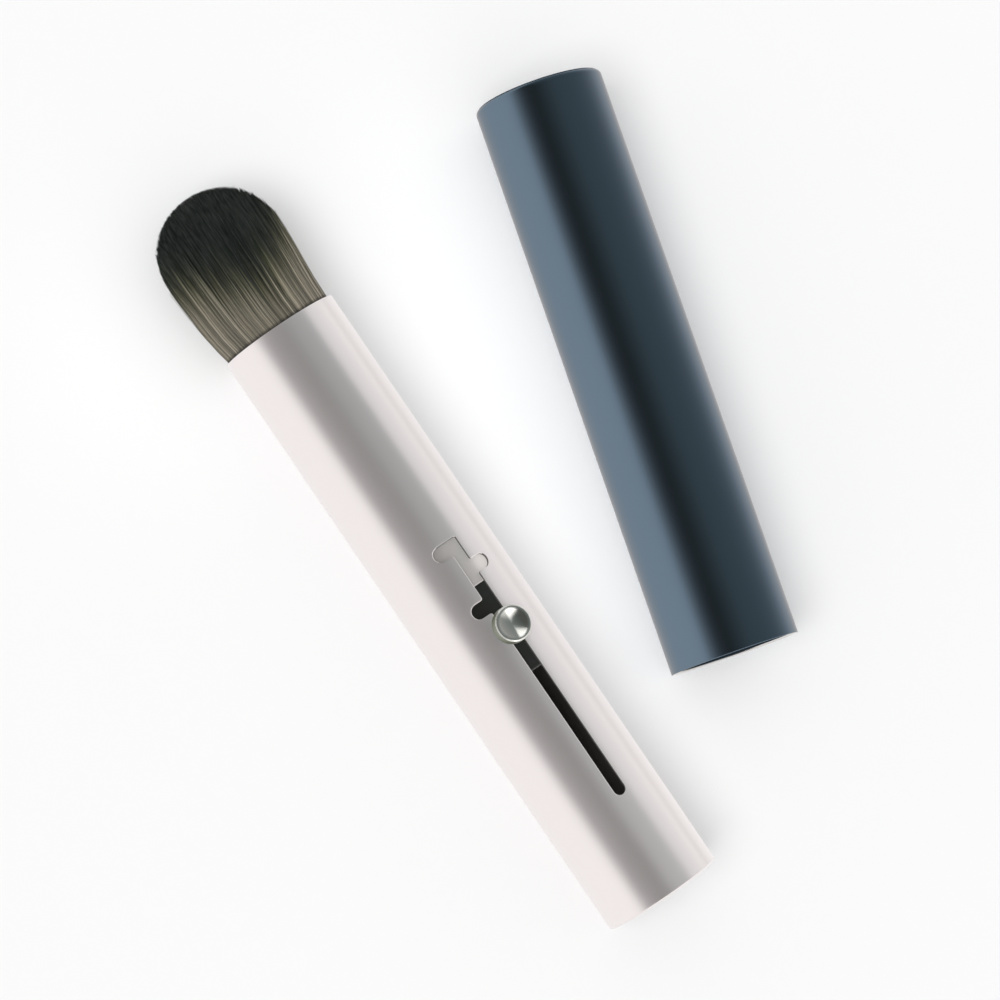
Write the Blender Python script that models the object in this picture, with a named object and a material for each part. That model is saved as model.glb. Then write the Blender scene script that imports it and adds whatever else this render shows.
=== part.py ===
"""Retractable makeup brush, lying on a table with its cap taken off beside it.

An aluminium tube is the handle. A ferrule with a domed tuft slides inside it on a plastic core, worked by a
steel knob whose stem runs in a gate slot. Metres, +Z up: the handle lies along +Y with its mouth forward, and
the origin is on the table, below the middle of the whole part.
"""

import math

import bmesh
import bpy
from mathutils import Matrix, Vector

MM = 0.001

# Fits between pieces
SEAT_GAP = 0.3 * MM
CUT_OVERRUN = 1.0 * MM
MERGE = 0.001 * MM

# Handle tube, measured from its mouth
HANDLE_LENGTH = 108.0 * MM
HANDLE_RADIUS = 10.0 * MM
HANDLE_WALL = 0.4 * MM
MOUTH_EDGE = 0.08 * MM
BASE_CHAMFER = 0.25 * MM

# Gate slot: a straight lane with notches turned off it to either side
LANE_TURN = math.radians(8.2)
LANE_START = 42.8 * MM
LANE_FOOT = 17.1 * MM
LANE_WIDTH = 2.1 * MM
LANE_CORNER = 0.25 * MM
NOTCH_HEIGHT = 2.45 * MM
NOTCH_TURN = math.radians(15.3)
NOTCH_CORNER = 0.4 * MM
NOTCH_SHARES = (0.115, 0.248, 0.341)

# Base plug
PLUG_DEPTH = 6.0 * MM
PLUG_FACE = 1.6 * MM
PLUG_WALL = 1.5 * MM
PLUG_CHAMFER = 0.25 * MM

# Ferrule
FERRULE_LENGTH = 49.1 * MM
FERRULE_WALL = 0.4 * MM
FERRULE_LIP = 0.12 * MM

# Slider core
COLLAR_LENGTH = 15.7 * MM
SPIGOT_LENGTH = 8.0 * MM
CORE_CHAMFER = 0.4 * MM
CORE_RECESS_RADIUS = 5.6 * MM
CORE_WEB = 1.3 * MM

# Damping rings, in grooves of the core
RING_THICKNESS = 1.0 * MM
RING_PROUD = 0.1 * MM
RING_INSET = 1.5 * MM

# Knob and the threaded insert that it screws into
STEM_RADIUS = 0.7 * MM
STEM_END_ROOM = 0.9 * MM
KNOB_RADIUS = 3.0 * MM
KNOB_HEIGHT = 2.1 * MM
KNOB_CHAMFER = 0.22 * MM
KNOB_RIM = 0.25 * MM
KNOB_DISH = 0.8 * MM
INSERT_WALL = 0.8 * MM
INSERT_LENGTH = 4.6 * MM
INSERT_SINK = 0.3 * MM
INSERT_CHAMFER = 0.2 * MM

# Tuft of bristles and the resin that it is set in
TUFT_REACH = 25.7 * MM
TUFT_SHOULDER = 13.5 * MM
TUFT_SWELL = 0.6 * MM
TUFT_SEAT_DEPTH = 1.2 * MM
TUFT_SLICE = 1.5 * MM
TUFT_RINGS = 8
DOME_POWER = 2.5
STRAND_INSET = 0.06 * MM
STRAND_TIP_SHARE = 0.55
RESIN_LENGTH = 12.0 * MM
RESIN_CHAMFER = 0.4 * MM

# Cap, measured from its mouth, and where it lies
CAP_CLEARANCE = 0.2 * MM
CAP_WALL = 0.5 * MM
CAP_END = 0.8 * MM
CAP_CORNER = 1.0 * MM
CAP_INNER_CORNER = 0.5 * MM
CAP_EDGE = 0.15 * MM
CAP_ASIDE = 32.0 * MM
CAP_AHEAD = 24.7 * MM
CAP_TURN = math.radians(15.6)
STOP_LENGTH = 9.4 * MM
STOP_WALL = 1.3 * MM
STOP_CHAMFER = 0.4 * MM
KNOB_MARGIN = 0.5 * MM

# Sides of round pieces
TUBE_SIDES = 64
INNER_SIDES = 40
SMALL_SIDES = 24
RING_SIDES = 8
EDGE_STEPS = 2
ROUND_STEPS = 6
ROUND_FROM = 0.9 * MM
SMOOTH_ANGLE = math.radians(35.0)

# Worked out from the sizes above
HANDLE_BORE = HANDLE_RADIUS - HANDLE_WALL
SLIDER_RADIUS = HANDLE_BORE - SEAT_GAP
FERRULE_BORE = SLIDER_RADIUS - FERRULE_WALL
FERRULE_FILL = FERRULE_BORE - SEAT_GAP
LANE_LENGTH = HANDLE_LENGTH - LANE_START - LANE_FOOT
PIN_DEPTH = LANE_START + LANE_LENGTH * NOTCH_SHARES[-1]
COLLAR_TOP = PIN_DEPTH - COLLAR_LENGTH / 2
COLLAR_BOTTOM = PIN_DEPTH + COLLAR_LENGTH / 2
COLLAR_RADIUS = SLIDER_RADIUS - RING_PROUD
POCKET_RADIUS = STEM_RADIUS + INSERT_WALL + 2 * SEAT_GAP
INSERT_TOP = COLLAR_RADIUS - INSERT_SINK
FERRULE_BOTTOM = COLLAR_TOP - SEAT_GAP
FERRULE_MOUTH = FERRULE_BOTTOM - FERRULE_LENGTH
TUFT_SEAT = FERRULE_MOUTH + TUFT_SEAT_DEPTH
TUFT_RADIUS = HANDLE_RADIUS + TUFT_SWELL
CAP_BORE = HANDLE_RADIUS + CAP_CLEARANCE
CAP_RADIUS = CAP_BORE + CAP_WALL
PIN_AT_LANE_END = LANE_START + LANE_LENGTH - LANE_WIDTH / 2
STOP_FACE = PIN_AT_LANE_END - KNOB_RADIUS - KNOB_MARGIN
CAP_LENGTH = STOP_FACE + STOP_LENGTH + SEAT_GAP + CAP_END


def clear_scene():
    for thing in list(bpy.data.objects):
        bpy.data.objects.remove(thing, do_unlink=True)


def material(name, colour, roughness, metallic=0.0):
    """A plain Principled material with its base colour in linear values."""
    finish = bpy.data.materials.new(name)
    finish.use_nodes = True
    shader = finish.node_tree.nodes["Principled BSDF"]
    shader.inputs["Base Color"].default_value = (*colour, 1.0)
    shader.inputs["Roughness"].default_value = roughness
    shader.inputs["Metallic"].default_value = metallic
    return finish


def axis_empty(name, parent=None, place=(0, 0, 0), turn=None):
    """An empty on the axis of the pieces that it carries."""
    axis = bpy.data.objects.new(name, None)
    axis.empty_display_size = HANDLE_RADIUS
    axis.parent = parent
    axis.matrix_local = Matrix.Translation(place) @ (turn or Matrix())
    bpy.context.scene.collection.objects.link(axis)
    return axis


def add_piece(name, shape, finish, parent):
    """Turns a finished bmesh into a named object with its own material."""
    bmesh.ops.recalc_face_normals(shape, faces=shape.faces)
    mesh = bpy.data.meshes.new(name)
    shape.to_mesh(mesh)
    shape.free()
    mesh.materials.append(finish)
    mesh.shade_smooth()
    mesh.set_sharp_from_angle(angle=SMOOTH_ANGLE)
    piece = bpy.data.objects.new(name, mesh)
    piece.parent = parent
    bpy.context.scene.collection.objects.link(piece)
    return piece


def rounded(corners):
    """The closed outline through corners (across, along, radius), each rounded with its radius."""
    points = []
    for index, (across, along, radius) in enumerate(corners):
        corner = Vector((across, along))
        before = (Vector(corners[index - 1][:2]) - corner).normalized()
        after = (Vector(corners[(index + 1) % len(corners)][:2]) - corner).normalized()
        half = before.angle(after) / 2
        centre = corner + (before + after).normalized() * radius / math.sin(half)
        first = corner + before * radius / math.tan(half) - centre
        last = corner + after * radius / math.tan(half) - centre
        sweep = math.atan2(first.cross(last), first.dot(last)) if radius else 0
        steps = ROUND_STEPS if radius > ROUND_FROM else EDGE_STEPS
        for step in range(steps + 1 if radius else 1):
            point = centre + Matrix.Rotation(sweep * step / steps, 2) @ first
            if not points or (point - points[-1]).length > MERGE:
                points.append(point)
    return points


def spun(outline, sides, closed=True):
    """Spins an outline of (radius, along) points once round the Y axis."""
    shape = bmesh.new()
    ring = [shape.verts.new((radius, along, 0)) for radius, along in outline]
    edges = [shape.edges.new(pair) for pair in zip(ring, ring[1:])]
    if closed:
        edges.append(shape.edges.new((ring[-1], ring[0])))
    bmesh.ops.spin(
        shape, geom=ring + edges, axis=(0, 1, 0), cent=(0, 0, 0), angle=math.tau, steps=sides, use_merge=True
    )
    bmesh.ops.remove_doubles(shape, verts=shape.verts, dist=MERGE)
    return shape


def with_flat_ends(corners):
    """An open outline that starts and ends on the axis, rounded at the corners between."""
    return rounded([(0, corners[0][1], 0), *corners, (0, corners[-1][1], 0)])


def cut(piece, cutter_shape, name, parent):
    """Cuts a shape out of a piece with an exact Boolean. The cutter stays as a hidden wire helper."""
    cutter = add_piece(name, cutter_shape, piece.data.materials[0], parent)
    cutter.hide_render = True
    cutter.display_type = "WIRE"
    boolean = piece.modifiers.new(name, "BOOLEAN")
    boolean.operation = "DIFFERENCE"
    boolean.solver = "EXACT"
    boolean.object = cutter


def gate_outline():
    """The gate slot laid flat: (distance round the tube from the lane's middle, place along Y)."""
    half = LANE_WIDTH / 2
    rise = NOTCH_HEIGHT / 2
    reach = HANDLE_RADIUS * NOTCH_TURN + rise
    top = -LANE_START
    bottom = top - LANE_LENGTH
    right_upper, left_lower, right_lower = (top - LANE_LENGTH * share for share in NOTCH_SHARES)

    def notch(side, middle, first):
        """Four corners of a notch, met from its first edge, which is above or below its middle."""
        return [
            (side * half, middle + first * rise, NOTCH_CORNER),
            (side * reach, middle + first * rise, rise),
            (side * reach, middle - first * rise, rise),
            (side * half, middle - first * rise, NOTCH_CORNER),
        ]

    return rounded(
        [
            (half, top, LANE_CORNER),
            *notch(1, right_upper, 1),
            *notch(1, right_lower, 1),
            (half, bottom, half),
            (-half, bottom, half),
            *notch(-1, left_lower, -1),
            (-half, top - NOTCH_HEIGHT, NOTCH_CORNER),
            (-reach, top - NOTCH_HEIGHT, rise),
            (-reach, top, rise),
        ]
    )


def gate_cutter():
    """The slot as a solid whose side walls all point at the tube's axis."""
    shape = bmesh.new()
    faces = []
    for height in (HANDLE_BORE * math.cos(2 * NOTCH_TURN) - CUT_OVERRUN, HANDLE_RADIUS + CUT_OVERRUN):
        level = [
            shape.verts.new((height * math.tan(round_tube / HANDLE_RADIUS), along, height))
            for round_tube, along in gate_outline()
        ]
        faces.append(shape.faces.new(level))
    lower, upper = ([loop.vert for loop in face.loops] for face in faces)
    for index in range(len(lower)):
        shape.faces.new((lower[index - 1], lower[index], upper[index], upper[index - 1]))
    bmesh.ops.rotate(shape, verts=shape.verts, cent=(0, 0, 0), matrix=Matrix.Rotation(LANE_TURN, 3, "Y"))
    return shape


def make_barrel(axis):
    outline = rounded(
        [
            (HANDLE_BORE, -HANDLE_LENGTH, 0),
            (HANDLE_RADIUS - BASE_CHAMFER, -HANDLE_LENGTH, 0),
            (HANDLE_RADIUS, BASE_CHAMFER - HANDLE_LENGTH, 0),
            (HANDLE_RADIUS, 0, MOUTH_EDGE),
            (HANDLE_BORE, 0, MOUTH_EDGE),
        ]
    )
    finish = material("pearl_anodised_aluminium", (0.72, 0.69, 0.68), 0.38, 1.0)
    barrel = add_piece("barrel", spun(outline, TUBE_SIDES), finish, axis)
    cut(barrel, gate_cutter(), "gate_slot_cutter", axis)


def make_base_plug(axis):
    """A turned cup pressed into the bottom of the tube, flush with its end."""
    inner = SLIDER_RADIUS - PLUG_WALL
    outline = with_flat_ends(
        [
            (SLIDER_RADIUS - PLUG_CHAMFER, -HANDLE_LENGTH, 0),
            (SLIDER_RADIUS, PLUG_CHAMFER - HANDLE_LENGTH, 0),
            (SLIDER_RADIUS, PLUG_DEPTH - HANDLE_LENGTH, PLUG_CHAMFER),
            (inner, PLUG_DEPTH - HANDLE_LENGTH, PLUG_CHAMFER),
            (inner, PLUG_FACE - HANDLE_LENGTH, PLUG_CHAMFER),
        ]
    )
    finish = material("turned_aluminium", (0.62, 0.61, 0.6), 0.3, 1.0)
    add_piece("base_plug", spun(outline, INNER_SIDES, closed=False), finish, axis)


def make_ferrule(axis):
    """A thin tube, its upper edge rolled and its lower end pressed over the core's spigot."""
    outline = rounded(
        [
            (FERRULE_BORE, -FERRULE_BOTTOM, 0),
            (SLIDER_RADIUS, -FERRULE_BOTTOM, FERRULE_LIP),
            (SLIDER_RADIUS, -FERRULE_MOUTH, FERRULE_LIP),
            (FERRULE_BORE, -FERRULE_MOUTH, FERRULE_LIP),
        ]
    )
    finish = material("clear_anodised_aluminium", (0.75, 0.74, 0.72), 0.28, 1.0)
    add_piece("ferrule", spun(outline, INNER_SIDES), finish, axis)


def ring_place(side):
    """Middle of a damping ring along Y: side is 1 for the front ring and -1 for the rear one."""
    return -PIN_DEPTH + side * (COLLAR_LENGTH / 2 - RING_INSET)


def make_slider_core(axis, knob_axis):
    """The moulded plug that joins ferrule and knob: a spigot, and a collar with two ring grooves."""
    groove = RING_THICKNESS / 2 + SEAT_GAP
    groove_floor = SLIDER_RADIUS - RING_THICKNESS - SEAT_GAP
    recess = -PIN_DEPTH - POCKET_RADIUS - CORE_WEB
    front, rear = ring_place(1), ring_place(-1)
    outline = with_flat_ends(
        [
            (CORE_RECESS_RADIUS, recess, CORE_CHAMFER),
            (CORE_RECESS_RADIUS, -COLLAR_BOTTOM, 0),
            (COLLAR_RADIUS, -COLLAR_BOTTOM, CORE_CHAMFER),
            (COLLAR_RADIUS, rear - groove, 0),
            (groove_floor, rear - groove, 0),
            (groove_floor, rear + groove, 0),
            (COLLAR_RADIUS, rear + groove, 0),
            (COLLAR_RADIUS, front - groove, 0),
            (groove_floor, front - groove, 0),
            (groove_floor, front + groove, 0),
            (COLLAR_RADIUS, front + groove, 0),
            (COLLAR_RADIUS, -COLLAR_TOP, 0),
            (FERRULE_FILL, -COLLAR_TOP, 0),
            (FERRULE_FILL, SPIGOT_LENGTH - COLLAR_TOP, CORE_CHAMFER),
        ]
    )
    finish = material("black_moulded_plastic", (0.012, 0.012, 0.011), 0.45)
    core = add_piece("slider_core", spun(outline, INNER_SIDES, closed=False), finish, axis)
    floor = INSERT_TOP - INSERT_LENGTH - SEAT_GAP
    pocket = with_flat_ends([(POCKET_RADIUS, floor, 0), (POCKET_RADIUS, HANDLE_RADIUS, 0)])
    cut(core, spun(pocket, SMALL_SIDES, closed=False), "insert_pocket_cutter", knob_axis)


def make_damping_ring(name, side, axis):
    """A rubber ring that rubs in the tube, so that the brush stays where it is pushed."""
    radius = RING_THICKNESS / 2
    outline = [
        (
            SLIDER_RADIUS - radius + radius * math.cos(math.tau * step / RING_SIDES),
            ring_place(side) + radius * math.sin(math.tau * step / RING_SIDES),
        )
        for step in range(RING_SIDES)
    ]
    finish = material("nitrile_rubber", (0.016, 0.016, 0.016), 0.7)
    add_piece(name, spun(outline, INNER_SIDES), finish, axis)


def make_thread_insert(knob_axis):
    """A brass bush set across the core, with the knob's stem in it."""
    bore = STEM_RADIUS + SEAT_GAP
    outer = bore + INSERT_WALL
    outline = rounded(
        [
            (bore, INSERT_TOP - INSERT_LENGTH, 0),
            (outer, INSERT_TOP - INSERT_LENGTH, INSERT_CHAMFER),
            (outer, INSERT_TOP, INSERT_CHAMFER),
            (bore, INSERT_TOP, INSERT_CHAMFER),
        ]
    )
    finish = material("turned_brass", (0.55, 0.38, 0.14), 0.3, 1.0)
    add_piece("thread_insert", spun(outline, SMALL_SIDES), finish, knob_axis)


def make_knob(knob_axis):
    """A turned steel button with a chamfered rim and a dished top, on a thin stem."""
    foot = INSERT_TOP - INSERT_LENGTH + STEM_END_ROOM
    under = HANDLE_RADIUS + SEAT_GAP
    top = under + KNOB_HEIGHT
    outline = rounded(
        [
            (0, foot, 0),
            (STEM_RADIUS, foot, 0),
            (STEM_RADIUS, under, 0),
            (KNOB_RADIUS - KNOB_CHAMFER, under, 0),
            (KNOB_RADIUS, under + KNOB_CHAMFER, 0),
            (KNOB_RADIUS, top - KNOB_CHAMFER, 0),
            (KNOB_RADIUS - KNOB_CHAMFER, top, 0),
            (KNOB_RADIUS - KNOB_CHAMFER - KNOB_RIM, top, 0),
            (KNOB_RADIUS / 2, top - KNOB_DISH / 2, 0),
            (0, top - KNOB_DISH, 0),
        ]
    )
    finish = material("turned_steel", (0.58, 0.57, 0.54), 0.16, 1.0)
    add_piece("knob", spun(outline, INNER_SIDES, closed=False), finish, knob_axis)


def strand_tip(middle):
    """Where the strand over a point of the seat ends, on the dome: a flat taper, then a full round top."""
    share = min(middle.length / FERRULE_FILL, 1)
    height = TUFT_SHOULDER + (TUFT_REACH - TUFT_SHOULDER) * (1 - share**2) ** (1 / DOME_POWER)
    across = middle * TUFT_RADIUS / FERRULE_FILL
    if across.y < 0:
        across.y *= min(1, (HANDLE_RADIUS - SEAT_GAP) / TUFT_RADIUS)
    return across, height


def make_tuft(axis):
    """Bristles of three sides on a thin slice of their set root, flared and trimmed to a dome."""
    shape = bmesh.new()
    rings = [[shape.verts.new((0, -TUFT_SEAT, 0))]]
    for ring in range(1, TUFT_RINGS + 1):
        radius = FERRULE_FILL * ring / TUFT_RINGS
        angles = [math.tau * step / (6 * ring) for step in range(6 * ring)]
        rings.append([shape.verts.new((radius * math.cos(a), -TUFT_SEAT, radius * math.sin(a))) for a in angles])
    for ring in range(1, TUFT_RINGS + 1):
        outer, inner = rings[ring], rings[ring - 1]
        for sector in range(6):
            for step in range(ring):
                here = outer[sector * ring + step]
                ahead = outer[(sector * ring + step + 1) % len(outer)]
                below = inner[(sector * (ring - 1) + step) % len(inner)]
                shape.faces.new((here, below, ahead))
                if step:
                    shape.faces.new((inner[sector * (ring - 1) + step - 1], below, here))
    roots = list(shape.faces)
    skirt = bmesh.ops.extrude_edge_only(shape, edges=[edge for edge in shape.edges if edge.is_boundary])
    rim = [item for item in skirt["geom"] if isinstance(item, bmesh.types.BMVert)]
    bmesh.ops.translate(shape, verts=rim, vec=(0, -TUFT_SLICE, 0))
    bmesh.ops.contextual_create(shape, geom=[edge for edge in shape.edges if edge.is_boundary])
    bmesh.ops.recalc_face_normals(shape, faces=shape.faces)
    bmesh.ops.inset_individual(shape, faces=roots, thickness=STRAND_INSET, use_even_offset=True)

    for face in bmesh.ops.extrude_discrete_faces(shape, faces=roots)["faces"]:
        root = face.calc_center_median()
        across, height = strand_tip(Vector((root.x, root.z)))
        tip = Vector((across.x, height, across.y))
        for vert in face.verts:
            vert.co = tip + (vert.co - root) * STRAND_TIP_SHARE
    finish = material("synthetic_bristle", (0.045, 0.043, 0.034), 0.5)
    add_piece("tuft", shape, finish, axis)


def make_tuft_resin(axis):
    """The cast resin under the bristles' root, which fixes them in the ferrule."""
    top = -TUFT_SEAT - TUFT_SLICE - SEAT_GAP
    outline = with_flat_ends(
        [(FERRULE_FILL, top - RESIN_LENGTH, RESIN_CHAMFER), (FERRULE_FILL, top, RESIN_CHAMFER)]
    )
    finish = material("cast_resin", (0.33, 0.25, 0.12), 0.35)
    add_piece("tuft_resin", spun(outline, INNER_SIDES, closed=False), finish, axis)


def make_cap_shell(axis):
    """A drawn cup: one closed end with a rounded corner, and a trimmed mouth."""
    outline = with_flat_ends(
        [
            (CAP_RADIUS, CAP_LENGTH, CAP_CORNER),
            (CAP_RADIUS, 0, CAP_EDGE),
            (CAP_BORE, 0, CAP_EDGE),
            (CAP_BORE, CAP_LENGTH - CAP_END, CAP_INNER_CORNER),
        ]
    )
    finish = material("navy_anodised_aluminium", (0.05, 0.085, 0.12), 0.36, 1.0)
    add_piece("cap_shell", spun(outline, TUBE_SIDES, closed=False), finish, axis)


def make_cap_stop_ring(axis):
    """A moulded ring in the closed end, which the handle's mouth meets before the cap reaches the knob."""
    outer = CAP_BORE - SEAT_GAP
    end = CAP_LENGTH - CAP_END - SEAT_GAP
    outline = rounded(
        [
            (outer - STOP_WALL, STOP_FACE, STOP_CHAMFER),
            (outer, STOP_FACE, STOP_CHAMFER),
            (outer, end, STOP_CHAMFER),
            (outer - STOP_WALL, end, STOP_CHAMFER),
        ]
    )
    finish = material("grey_moulded_plastic", (0.06, 0.06, 0.065), 0.5)
    add_piece("cap_stop_ring", spun(outline, INNER_SIDES), finish, axis)


def centre_on_origin(layout):
    """Moves the whole part so that the origin is under the middle of its box."""
    bpy.context.view_layer.update()
    corners = [
        piece.matrix_world @ vertex.co
        for piece in bpy.context.scene.objects
        if piece.type == "MESH" and not piece.hide_render
        for vertex in piece.data.vertices
    ]
    for way in (0, 1):
        values = [corner[way] for corner in corners]
        layout.location[way] = -(min(values) + max(values)) / 2


def build():
    clear_scene()
    layout = axis_empty("layout")
    handle_axis = axis_empty("handle_axis", layout, (0, HANDLE_LENGTH, HANDLE_RADIUS))
    carriage_axis = axis_empty("carriage_axis", handle_axis)
    stand_up = Matrix.Rotation(LANE_TURN, 4, "Y") @ Matrix.Rotation(math.pi / 2, 4, "X")
    knob_axis = axis_empty("knob_axis", carriage_axis, (0, -PIN_DEPTH, 0), stand_up)
    cap_turn = Matrix.Rotation(-CAP_TURN, 4, "Z")
    cap_axis = axis_empty("cap_axis", layout, (CAP_ASIDE, CAP_AHEAD, CAP_RADIUS), cap_turn)

    make_barrel(handle_axis)
    make_base_plug(handle_axis)
    make_ferrule(carriage_axis)
    make_slider_core(carriage_axis, knob_axis)
    make_damping_ring("front_damping_ring", 1, carriage_axis)
    make_damping_ring("rear_damping_ring", -1, carriage_axis)
    make_thread_insert(knob_axis)
    make_knob(knob_axis)
    make_tuft(carriage_axis)
    make_tuft_resin(carriage_axis)
    make_cap_shell(cap_axis)
    make_cap_stop_ring(cap_axis)
    centre_on_origin(layout)


build()
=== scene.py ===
import math

import bmesh
import bpy
import numpy as np
from mathutils import Matrix, Vector


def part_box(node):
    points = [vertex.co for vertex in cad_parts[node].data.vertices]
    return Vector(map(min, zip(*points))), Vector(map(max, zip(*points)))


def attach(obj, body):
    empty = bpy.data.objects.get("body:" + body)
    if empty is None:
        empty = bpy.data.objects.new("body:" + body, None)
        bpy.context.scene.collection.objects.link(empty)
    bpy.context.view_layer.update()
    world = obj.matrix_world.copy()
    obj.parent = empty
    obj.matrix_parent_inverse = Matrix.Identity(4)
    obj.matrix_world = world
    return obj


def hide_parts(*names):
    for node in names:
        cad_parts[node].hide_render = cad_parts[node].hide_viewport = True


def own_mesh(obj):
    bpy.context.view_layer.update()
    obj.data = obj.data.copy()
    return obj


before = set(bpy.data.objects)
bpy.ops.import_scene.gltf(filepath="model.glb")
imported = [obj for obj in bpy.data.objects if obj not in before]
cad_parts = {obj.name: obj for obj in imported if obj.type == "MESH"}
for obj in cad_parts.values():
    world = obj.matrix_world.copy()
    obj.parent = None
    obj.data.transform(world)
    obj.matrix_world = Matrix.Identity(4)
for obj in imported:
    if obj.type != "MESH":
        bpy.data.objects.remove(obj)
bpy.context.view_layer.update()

MM = 0.001


# Handle tube: drawn aluminium, blasted with fine beads and anodised in a pearl tone. The gate slot is
# milled through its wall and its edges are broken before the blasting, so they are satin as well.
# Its bottom edge is turned to a small chamfer.
tube_low, tube_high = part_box("barrel")
TUBE_RADIUS = (tube_high.z - tube_low.z) / 2
TUBE_LENGTH = tube_high.y - tube_low.y
TUBE_WALL = 0.4 * MM
TUBE_BORE = TUBE_RADIUS - TUBE_WALL
MOUTH_EDGE = 0.03 * MM
BASE_CHAMFER = 0.25 * MM
BASE_CORNER = 0.05 * MM
LANE_TURN = math.radians(8.2)
LANE_START = 42.8 * MM
LANE_FOOT = 17.1 * MM
LANE_LENGTH = TUBE_LENGTH - LANE_START - LANE_FOOT
LANE_WIDTH = 2.1 * MM
LANE_CORNER = 0.25 * MM
NOTCH_HEIGHT = 2.45 * MM
NOTCH_TURN = math.radians(15.3)
NOTCH_CORNER = 0.4 * MM
NOTCH_SHARES = (0.115, 0.248, 0.341)
SLOT_LIP = 0.16 * MM
LIP_STEPS = 3
SLOT_OVERRUN = 1.0 * MM
TUBE_SIDES = 192
CORNER_STEPS = 6
EDGE_ANGLE = math.radians(32.0)
TOUCHING = 1e-7
FLAT_ON_SURFACE = 0.998
STEEP_AS_WALL = 0.5
BEAD = 0.22 * MM
BEAD_DENT = 0.004 * MM
BEAD_DRIFT = 0.02
DRIFT_SPAN = 9 * MM
handle_place = Matrix.Translation(
    ((tube_low.x + tube_high.x) / 2, tube_high.y, (tube_low.z + tube_high.z) / 2)
)


def to_linear(hex_code):
    """An sRGB hex value as linear red, green, blue and a full alpha."""
    shares = [int(hex_code[place:place + 2], 16) / 255 for place in (1, 3, 5)]
    return (*[s / 12.92 if s <= 0.04045 else ((s + 0.055) / 1.055) ** 2.4 for s in shares], 1.0)


def add_node(tree, kind, inputs=None, **settings):
    """Adds a node: settings are its own properties, and each input is a number or another node's output."""
    node = tree.nodes.new(kind)
    for name, value in settings.items():
        setattr(node, name, value)
    for socket, value in (inputs or {}).items():
        if isinstance(value, bpy.types.NodeSocket):
            tree.links.new(value, node.inputs[socket])
        else:
            node.inputs[socket].default_value = value
    return node


def new_finish(name, colour, roughness, metallic=0.0):
    """A material with its shader set to plain values, for the nodes that follow to add to."""
    finish = bpy.data.materials.new(name)
    finish.use_nodes = True
    shader = finish.node_tree.nodes["Principled BSDF"]
    shader.inputs["Base Color"].default_value = to_linear(colour)
    shader.inputs["Roughness"].default_value = roughness
    shader.inputs["Metallic"].default_value = metallic
    return finish, finish.node_tree, shader


def grain_skin(tree, shader, grain, depth, drift):
    """The even skin that blasting or a mould leaves: tiny dents, and a roughness that drifts a little.

    Real grain is finer than the picture can show, so it is drawn as coarse as it needs to be.
    """
    place = add_node(tree, "ShaderNodeTexCoord").outputs["Object"]
    dents = add_node(tree, "ShaderNodeTexNoise", {"Vector": place, "Scale": 1 / grain, "Detail": 1.0})
    relief = add_node(tree, "ShaderNodeBump", {"Height": dents.outputs["Fac"], "Distance": depth})
    tree.links.new(relief.outputs["Normal"], shader.inputs["Normal"])
    patches = add_node(tree, "ShaderNodeTexNoise", {"Vector": place, "Scale": 1 / DRIFT_SPAN, "Detail": 3.0})
    middle = shader.inputs["Roughness"].default_value
    spread = add_node(
        tree,
        "ShaderNodeMapRange",
        {"Value": patches.outputs["Fac"], "To Min": middle - drift, "To Max": middle + drift},
    )
    tree.links.new(spread.outputs["Result"], shader.inputs["Roughness"])


def rounded(corners):
    """The closed outline through corners (across, along, radius), each rounded with its radius."""
    points = []
    for index, (across, along, radius) in enumerate(corners):
        corner = Vector((across, along))
        before = (Vector(corners[index - 1][:2]) - corner).normalized()
        after = (Vector(corners[(index + 1) % len(corners)][:2]) - corner).normalized()
        half = before.angle(after) / 2
        centre = corner + (before + after).normalized() * radius / math.sin(half)
        first = corner + before * radius / math.tan(half) - centre
        last = corner + after * radius / math.tan(half) - centre
        sweep = math.atan2(first.cross(last), first.dot(last)) if radius else 0
        for step in range(CORNER_STEPS + 1 if radius else 1):
            point = centre + Matrix.Rotation(sweep * step / CORNER_STEPS, 2) @ first
            if not points or (point - points[-1]).length > TOUCHING:
                points.append(point)
    return points


def turned(outline, sides, closed=True):
    """Turns an outline of (radius, along) points once round the Y axis."""
    shape = bmesh.new()
    ring = [shape.verts.new((radius, along, 0)) for radius, along in outline]
    edges = [shape.edges.new(pair) for pair in zip(ring, ring[1:])]
    if closed:
        edges.append(shape.edges.new((ring[-1], ring[0])))
    bmesh.ops.spin(
        shape, geom=ring + edges, axis=(0, 1, 0), cent=(0, 0, 0), angle=math.tau, steps=sides, use_merge=True
    )
    bmesh.ops.remove_doubles(shape, verts=shape.verts, dist=TOUCHING)
    return shape


def fit_piece(name, shape, finish, place, body):
    """Makes a smooth piece of a shape, puts it in its place on a body, and hides the CAD node of the same
    name.

    No piece shows in another's polish, so the cap and the handle have no image of each other.
    """
    bmesh.ops.recalc_face_normals(shape, faces=shape.faces)
    mesh = bpy.data.meshes.new(name)
    shape.to_mesh(mesh)
    shape.free()
    mesh.materials.append(finish)
    mesh.shade_smooth()
    mesh.set_sharp_from_angle(angle=EDGE_ANGLE)
    piece = bpy.data.objects.new(name + "_fine", mesh)
    bpy.context.scene.collection.objects.link(piece)
    piece.matrix_world = place
    piece.visible_glossy = False
    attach(piece, body)
    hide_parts(name)
    return piece


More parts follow.
